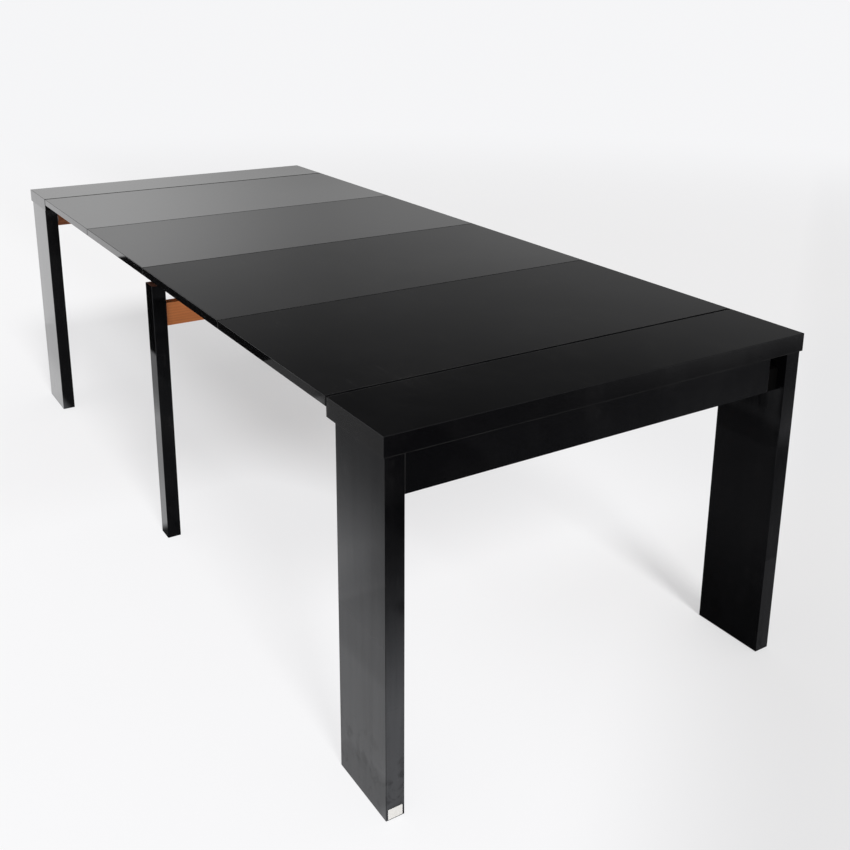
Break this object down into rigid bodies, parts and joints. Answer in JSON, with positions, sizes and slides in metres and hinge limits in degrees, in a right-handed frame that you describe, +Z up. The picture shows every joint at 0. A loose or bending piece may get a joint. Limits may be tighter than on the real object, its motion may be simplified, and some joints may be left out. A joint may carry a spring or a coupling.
{
  "type": "extending console table",
  "caption": "Extending console table in black gloss lacquer: slab-legged end frames, loose leaves, a slim-legged centre support and telescoping wooden slides.",
  "frame": {"origin": "on the floor, under the middle of the extended table", "axes": "+X along the table from the near end to the far end, +Y to the left of a viewer at the near end, +Z up"},
  "size_m": [2.4, 1, 0.745],
  "materials": {
    "black_lacquer": "high-gloss black lacquer on board",
    "rail_wood": "oiled red-brown hardwood",
    "slide_wood": "waxed beech",
    "steel": "zinc-plated steel",
    "pin_brass": "turned brass",
    "felt": "pressed black felt"
  },
  "bodies": {
    "centre": {"mid_glides": "felt", "mid_leg_left": "black_lacquer", "mid_leg_right": "black_lacquer", "mid_rail": "rail_wood", "riser_left": "slide_wood", "riser_right": "slide_wood", "slide_centre_left": "slide_wood", "slide_centre_right": "slide_wood"},
    "near_end": {"near_apron": "black_lacquer", "near_brackets": "steel", "near_carrier_rail": "rail_wood", "near_glides": "felt", "near_leg_left": "black_lacquer", "near_leg_right": "black_lacquer", "near_panel": "black_lacquer", "slide_near_4_left": "slide_wood", "slide_near_4_right": "slide_wood"},
    "far_end": {"far_apron": "black_lacquer", "far_brackets": "steel", "far_carrier_rail": "rail_wood", "far_glides": "felt", "far_leg_left": "black_lacquer", "far_leg_right": "black_lacquer", "far_panel": "black_lacquer", "slide_far_4_left": "slide_wood", "slide_far_4_right": "slide_wood"},
    "leaf_1": {"leaf_1": "black_lacquer", "leaf_1_batten_far": "rail_wood", "leaf_1_batten_near": "rail_wood", "leaf_1_pins": "pin_brass"},
    "leaf_2": {"leaf_2": "black_lacquer", "leaf_2_batten_far": "rail_wood", "leaf_2_batten_near": "rail_wood", "leaf_2_pins": "pin_brass"},
    "leaf_3": {"leaf_3": "black_lacquer", "leaf_3_batten_far": "rail_wood", "leaf_3_batten_near": "rail_wood", "leaf_3_pins": "pin_brass"},
    "leaf_4": {"leaf_4": "black_lacquer", "leaf_4_batten_far": "rail_wood", "leaf_4_batten_near": "rail_wood", "leaf_4_pins": "pin_brass"},
    "far_carriage_1": {"slide_far_1_left": "slide_wood", "slide_far_1_right": "slide_wood", "tie_far_1": "slide_wood"},
    "far_carriage_2": {"slide_far_2_left": "slide_wood", "slide_far_2_right": "slide_wood", "tie_far_2": "slide_wood"},
    "far_carriage_3": {"slide_far_3_left": "slide_wood", "slide_far_3_right": "slide_wood", "tie_far_3": "slide_wood"},
    "near_carriage_1": {"slide_near_1_left": "slide_wood", "slide_near_1_right": "slide_wood", "tie_near_1": "slide_wood"},
    "near_carriage_2": {"slide_near_2_left": "slide_wood", "slide_near_2_right": "slide_wood", "tie_near_2": "slide_wood"},
    "near_carriage_3": {"slide_near_3_left": "slide_wood", "slide_near_3_right": "slide_wood", "tie_near_3": "slide_wood"}
  },
  "joints": [
    {"name": "near_extension", "type": "slide", "parent": "centre", "child": "near_end", "axis": [-1, 0, 0], "range_m": [-1, 0]},
    {"name": "near_slide_1", "type": "slide", "parent": "centre", "child": "near_carriage_1", "axis": [-1, 0, 0], "range_m": [-0.25, 0]},
    {"name": "near_slide_2", "type": "slide", "parent": "centre", "child": "near_carriage_2", "axis": [-1, 0, 0], "range_m": [-0.5, 0]},
    {"name": "near_slide_3", "type": "slide", "parent": "centre", "child": "near_carriage_3", "axis": [-1, 0, 0], "range_m": [-0.75, 0]},
    {"name": "far_extension", "type": "slide", "parent": "centre", "child": "far_end", "axis": [1, 0, 0], "range_m": [-1, 0]},
    {"name": "far_slide_1", "type": "slide", "parent": "centre", "child": "far_carriage_1", "axis": [1, 0, 0], "range_m": [-0.25, 0]},
    {"name": "far_slide_2", "type": "slide", "parent": "centre", "child": "far_carriage_2", "axis": [1, 0, 0], "range_m": [-0.5, 0]},
    {"name": "far_slide_3", "type": "slide", "parent": "centre", "child": "far_carriage_3", "axis": [1, 0, 0], "range_m": [-0.75, 0]},
    {"name": "leaf_1_lift", "type": "slide", "parent": "centre", "child": "leaf_1", "axis": [0, 0, 1], "range_m": [0, 0.5]},
    {"name": "leaf_2_lift", "type": "slide", "parent": "centre", "child": "leaf_2", "axis": [0, 0, 1], "range_m": [0, 0.5]},
    {"name": "leaf_3_lift", "type": "slide", "parent": "centre", "child": "leaf_3", "axis": [0, 0, 1], "range_m": [0, 0.5]},
    {"name": "leaf_4_lift", "type": "slide", "parent": "centre", "child": "leaf_4", "axis": [0, 0, 1], "range_m": [0, 0.5]}
  ],
  "couplings": [
    {"joint": "near_slide_1", "follows": "near_extension", "ratio": 0.25},
    {"joint": "near_slide_2", "follows": "near_extension", "ratio": 0.5},
    {"joint": "near_slide_3", "follows": "near_extension", "ratio": 0.75},
    {"joint": "far_slide_1", "follows": "far_extension", "ratio": 0.25},
    {"joint": "far_slide_2", "follows": "far_extension", "ratio": 0.5},
    {"joint": "far_slide_3", "follows": "far_extension", "ratio": 0.75},
    {"joint": "leaf_1_lift", "follows": "near_extension", "ratio": -0.5},
    {"joint": "leaf_2_lift", "follows": "near_extension", "ratio": -0.5},
    {"joint": "leaf_3_lift", "follows": "far_extension", "ratio": -0.5},
    {"joint": "leaf_4_lift", "follows": "far_extension", "ratio": -0.5}
  ]
}
